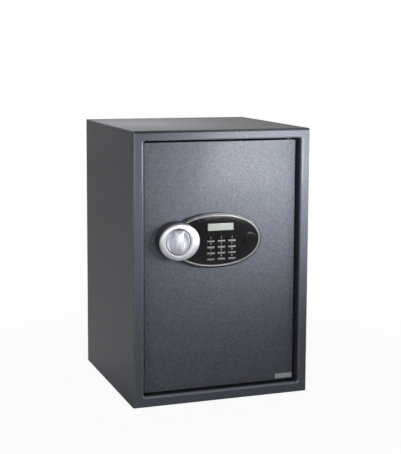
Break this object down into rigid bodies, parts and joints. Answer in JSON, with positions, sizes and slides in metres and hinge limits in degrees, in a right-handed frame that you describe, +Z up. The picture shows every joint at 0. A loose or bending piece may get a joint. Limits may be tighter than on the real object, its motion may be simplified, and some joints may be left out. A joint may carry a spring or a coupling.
{
  "type": "electronic safe",
  "caption": "Steel security safe with a recessed hinged door, round locking bolts, a turning knob, a keypad panel with display, an inner shelf and anchor holes.",
  "frame": {"origin": "middle of the cabinet's flat underside", "axes": "+Z up, +Y to the back, +X to the right seen from the front; the door faces -Y"},
  "size_m": [0.35, 0.3636, 0.515],
  "materials": {
    "powder_coat": "fine textured powder coat, charcoal grey",
    "felt": "needled felt",
    "brass": "turned",
    "steel": "ground",
    "zinc_steel": "zinc plated, satin",
    "copper": "enamelled winding",
    "chrome": "satin chrome plating",
    "silver_plastic": "silver metallised",
    "black_plastic": "fine spark texture",
    "gloss_black": "printed, semi-gloss",
    "display": "grey-green display",
    "board_green": "solder resist",
    "rubber": "silicone",
    "cell_sleeve": "printed sleeve",
    "red_plastic": "moulded"
  },
  "bodies": {
    "cabinet": {"cabinet_shell": "powder_coat", "back_panel": "powder_coat", "shelf": "powder_coat", "shelf_bracket_left": "powder_coat", "shelf_bracket_right": "powder_coat", "floor_mat": "felt", "hinge_bush_top": "brass", "hinge_bush_bottom": "brass"},
    "door": {"door_plate": "powder_coat", "name_plate": "silver_plastic", "hinge_block_top": "powder_coat", "hinge_block_bottom": "powder_coat", "hinge_pin_top": "steel", "hinge_pin_bottom": "steel", "bolt_guide": "zinc_steel", "carriage_screw_upper": "zinc_steel", "carriage_screw_lower": "zinc_steel", "knob_bezel": "chrome", "solenoid_frame": "zinc_steel", "solenoid_coil": "copper", "solenoid_spring": "steel", "panel_base": "black_plastic", "panel_ring": "chrome", "panel_face": "gloss_black", "lcd_window": "display", "lcd_module": "display", "circuit_board": "board_green", "keypad_mat": "rubber", "lock_cylinder": "brass", "inner_cover": "powder_coat", "battery_box": "black_plastic", "battery_set": "cell_sleeve", "cover_screw_1": "zinc_steel", "cover_screw_2": "zinc_steel", "cover_screw_3": "zinc_steel", "cover_screw_4": "zinc_steel"},
    "knob": {"knob": "chrome", "spindle": "steel", "drive_cam": "zinc_steel"},
    "bolt_carriage": {"bolt_carriage": "zinc_steel", "bolt_upper": "steel", "bolt_lower": "steel"},
    "plunger": {"solenoid_plunger": "steel"},
    "override_cover": {"override_cover": "black_plastic"},
    "lock_plug": {"lock_plug": "brass", "lock_cam": "zinc_steel"},
    "battery_cover": {"battery_cover": "black_plastic"},
    "reset_button": {"reset_button": "red_plastic"},
    "key_1": {"key_1": "silver_plastic"},
    "key_2": {"key_2": "silver_plastic"},
    "key_3": {"key_3": "silver_plastic"},
    "key_4": {"key_4": "silver_plastic"},
    "key_5": {"key_5": "silver_plastic"},
    "key_6": {"key_6": "silver_plastic"},
    "key_7": {"key_7": "silver_plastic"},
    "key_8": {"key_8": "silver_plastic"},
    "key_9": {"key_9": "silver_plastic"},
    "key_star": {"key_star": "silver_plastic"},
    "key_0": {"key_0": "silver_plastic"},
    "key_hash": {"key_hash": "silver_plastic"}
  },
  "joints": [
    {"name": "door_hinge", "type": "hinge", "parent": "cabinet", "child": "door", "pos_m": [0.138, -0.149, 0.2575], "axis": [0, 0, 1], "range_deg": [0, 100]},
    {"name": "knob_turn", "type": "hinge", "parent": "door", "child": "knob", "pos_m": [-0.0905, -0.18, 0.3099], "axis": [0, -1, 0], "range_deg": [0, 90]},
    {"name": "bolt_slide", "type": "slide", "parent": "door", "child": "bolt_carriage", "axis": [-1, 0, 0], "range_m": [0, 0.018]},
    {"name": "plunger_slide", "type": "slide", "parent": "door", "child": "plunger", "axis": [0, 0, 1], "range_m": [0, 0.0055], "deforming": ["solenoid_spring"]},
    {"name": "key_1_press", "type": "slide", "parent": "door", "child": "key_1", "axis": [0, 1, 0], "range_m": [0, 0.001], "stiffness_N_per_m": 800, "springref_m": -0.0005},
    {"name": "key_2_press", "type": "slide", "parent": "door", "child": "key_2", "axis": [0, 1, 0], "range_m": [0, 0.001], "stiffness_N_per_m": 800, "springref_m": -0.0005},
    {"name": "key_3_press", "type": "slide", "parent": "door", "child": "key_3", "axis": [0, 1, 0], "range_m": [0, 0.001], "stiffness_N_per_m": 800, "springref_m": -0.0005},
    {"name": "key_4_press", "type": "slide", "parent": "door", "child": "key_4", "axis": [0, 1, 0], "range_m": [0, 0.001], "stiffness_N_per_m": 800, "springref_m": -0.0005},
    {"name": "key_5_press", "type": "slide", "parent": "door", "child": "key_5", "axis": [0, 1, 0], "range_m": [0, 0.001], "stiffness_N_per_m": 800, "springref_m": -0.0005},
    {"name": "key_6_press", "type": "slide", "parent": "door", "child": "key_6", "axis": [0, 1, 0], "range_m": [0, 0.001], "stiffness_N_per_m": 800, "springref_m": -0.0005},
    {"name": "key_7_press", "type": "slide", "parent": "door", "child": "key_7", "axis": [0, 1, 0], "range_m": [0, 0.001], "stiffness_N_per_m": 800, "springref_m": -0.0005},
    {"name": "key_8_press", "type": "slide", "parent": "door", "child": "key_8", "axis": [0, 1, 0], "range_m": [0, 0.001], "stiffness_N_per_m": 800, "springref_m": -0.0005},
    {"name": "key_9_press", "type": "slide", "parent": "door", "child": "key_9", "axis": [0, 1, 0], "range_m": [0, 0.001], "stiffness_N_per_m": 800, "springref_m": -0.0005},
    {"name": "key_star_press", "type": "slide", "parent": "door", "child": "key_star", "axis": [0, 1, 0], "range_m": [0, 0.001], "stiffness_N_per_m": 800, "springref_m": -0.0005},
    {"name": "key_0_press", "type": "slide", "parent": "door", "child": "key_0", "axis": [0, 1, 0], "range_m": [0, 0.001], "stiffness_N_per_m": 800, "springref_m": -0.0005},
    {"name": "key_hash_press", "type": "slide", "parent": "door", "child": "key_hash", "axis": [0, 1, 0], "range_m": [0, 0.001], "stiffness_N_per_m": 800, "springref_m": -0.0005},
    {"name": "override_cover_pull", "type": "slide", "parent": "door", "child": "override_cover", "axis": [0, -1, 0], "range_m": [0, 0.02]},
    {"name": "lock_plug_turn", "type": "hinge", "parent": "door", "child": "lock_plug", "pos_m": [0.0555, -0.15, 0.307], "axis": [0, -1, 0], "range_deg": [0, 90]},
    {"name": "battery_cover_pull", "type": "slide", "parent": "door", "child": "battery_cover", "axis": [0, 1, 0], "range_m": [0, 0.03]},
    {"name": "reset_press", "type": "slide", "parent": "door", "child": "reset_button", "axis": [0, -1, 0], "range_m": [0, 0.002], "stiffness_N_per_m": 500, "springref_m": -0.0005}
  ],
  "couplings": [
    {"joint": "knob_turn", "follows": "bolt_slide", "rad_per_m": 87.266}
  ]
}
